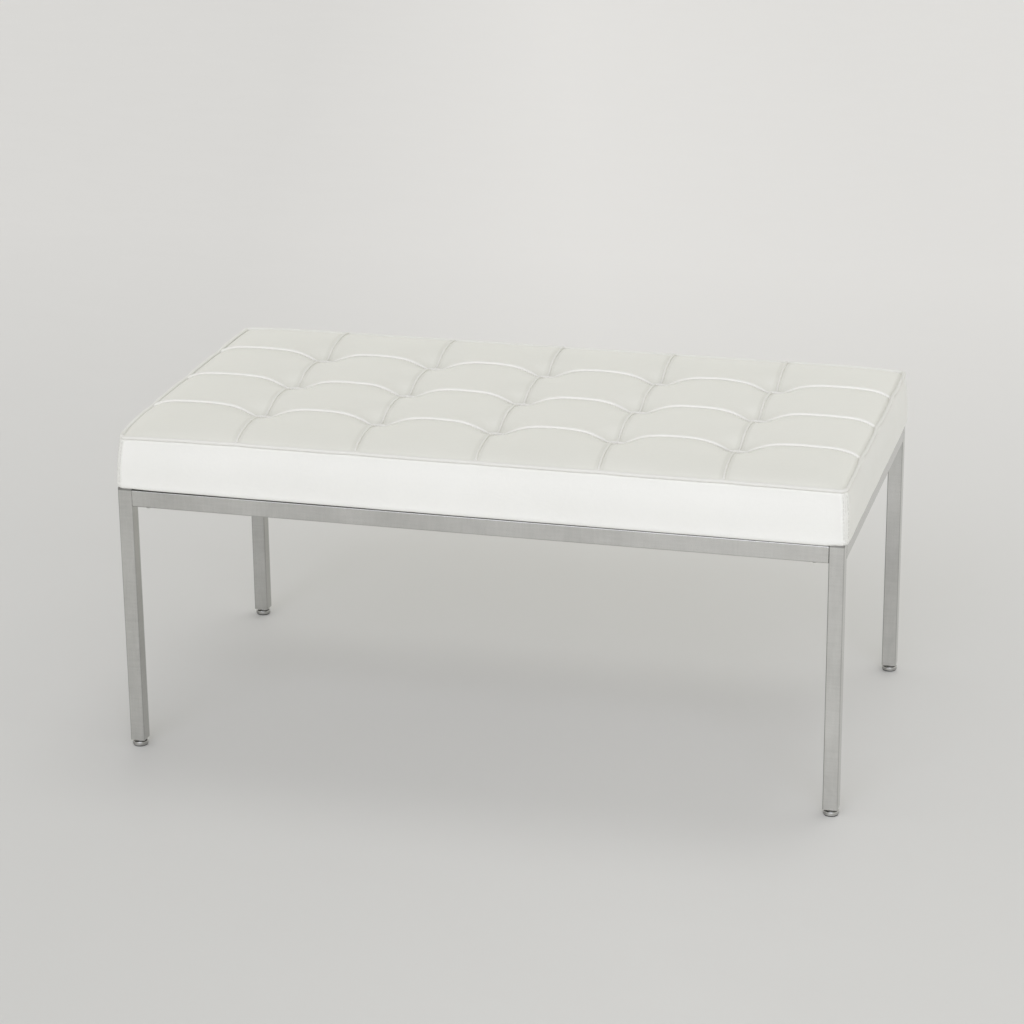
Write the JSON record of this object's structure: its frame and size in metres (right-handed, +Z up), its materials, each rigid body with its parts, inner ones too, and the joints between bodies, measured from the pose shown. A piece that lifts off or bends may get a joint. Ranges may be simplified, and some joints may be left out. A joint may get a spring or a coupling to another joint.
{
  "type": "tufted bench",
  "caption": "Low backless bench: a white leather seat pad, piped and blind-tufted in squares, on a slim polished square-tube frame with a levelling glide under each leg.",
  "frame": {"origin": "on the floor, under the middle of the bench: the middle of the rectangle that the four glides' soles stand on, glides screwed home", "axes": "+X along the length of the seat, +Y from the front to the back, +Z up from the floor; the bench has no back, and front and rear are alike"},
  "size_m": [0.921, 0.501, 0.4331],
  "materials": {
    "chrome": "polished",
    "leather": "satin",
    "piping_leather": "satin",
    "zinc_steel": "satin",
    "black_plastic": "matte",
    "rubber": "matte",
    "plywood": "matte",
    "foam": "matte",
    "wadding": "matte",
    "twine": "matte",
    "dust_cloth": "matte"
  },
  "bodies": {
    "root": {"boxing_front": "leather", "boxing_left": "leather", "boxing_rear": "leather", "boxing_right": "leather", "column_piping": "piping_leather", "deck_board": "plywood", "dust_cover": "dust_cloth", "foam_core": "foam", "glide_insert_front_left": "black_plastic", "glide_insert_front_right": "black_plastic", "glide_insert_rear_left": "black_plastic", "glide_insert_rear_right": "black_plastic", "joint_screws": "zinc_steel", "leg_caps": "black_plastic", "leg_front_left": "chrome", "leg_front_right": "chrome", "leg_rear_left": "chrome", "leg_rear_right": "chrome", "perimeter_piping": "piping_leather", "rail_front": "chrome", "rail_left": "chrome", "rail_rear": "chrome", "rail_right": "chrome", "rail_stubs": "zinc_steel", "row_piping": "piping_leather", "seat_bolts": "zinc_steel", "seat_spacers": "rubber", "seat_tabs": "zinc_steel", "staples": "zinc_steel", "tee_nuts": "zinc_steel", "top_panels": "leather", "tuft_anchors": "zinc_steel", "tufting_ties": "twine", "wadding": "wadding"},
    "glide_foot_front_left": {"glide_foot_front_left": "chrome", "glide_sole_front_left": "black_plastic"},
    "glide_stem_front_left": {"glide_stem_front_left": "zinc_steel"},
    "glide_foot_front_right": {"glide_foot_front_right": "chrome", "glide_sole_front_right": "black_plastic"},
    "glide_stem_front_right": {"glide_stem_front_right": "zinc_steel"},
    "glide_foot_rear_left": {"glide_foot_rear_left": "chrome", "glide_sole_rear_left": "black_plastic"},
    "glide_stem_rear_left": {"glide_stem_rear_left": "zinc_steel"},
    "glide_foot_rear_right": {"glide_foot_rear_right": "chrome", "glide_sole_rear_right": "black_plastic"},
    "glide_stem_rear_right": {"glide_stem_rear_right": "zinc_steel"}
  },
  "joints": [
    {"name": "glide_fl_travel", "type": "slide", "parent": "root", "child": "glide_foot_front_left", "axis": [0, 0, 1], "range_m": [-0.01, 0]},
    {"name": "glide_fl_turn", "type": "hinge", "parent": "glide_foot_front_left", "child": "glide_stem_front_left", "pos_m": [-0.4505, -0.2405, 0.02], "axis": [0, 0, 1], "range_deg": [-2880, 0]},
    {"name": "glide_fr_travel", "type": "slide", "parent": "root", "child": "glide_foot_front_right", "axis": [0, 0, 1], "range_m": [-0.01, 0]},
    {"name": "glide_fr_turn", "type": "hinge", "parent": "glide_foot_front_right", "child": "glide_stem_front_right", "pos_m": [0.4505, -0.2405, 0.02], "axis": [0, 0, 1], "range_deg": [-2880, 0]},
    {"name": "glide_rl_travel", "type": "slide", "parent": "root", "child": "glide_foot_rear_left", "axis": [0, 0, 1], "range_m": [-0.01, 0]},
    {"name": "glide_rl_turn", "type": "hinge", "parent": "glide_foot_rear_left", "child": "glide_stem_rear_left", "pos_m": [-0.4505, 0.2405, 0.02], "axis": [0, 0, 1], "range_deg": [-2880, 0]},
    {"name": "glide_rr_travel", "type": "slide", "parent": "root", "child": "glide_foot_rear_right", "axis": [0, 0, 1], "range_m": [-0.01, 0]},
    {"name": "glide_rr_turn", "type": "hinge", "parent": "glide_foot_rear_right", "child": "glide_stem_rear_right", "pos_m": [0.4505, 0.2405, 0.02], "axis": [0, 0, 1], "range_deg": [-2880, 0]}
  ],
  "couplings": [
    {"joint": "glide_fl_turn", "follows": "glide_fl_travel", "rad_per_m": 5026.5},
    {"joint": "glide_fr_turn", "follows": "glide_fr_travel", "rad_per_m": 5026.5},
    {"joint": "glide_rl_turn", "follows": "glide_rl_travel", "rad_per_m": 5026.5},
    {"joint": "glide_rr_turn", "follows": "glide_rr_travel", "rad_per_m": 5026.5}
  ]
}
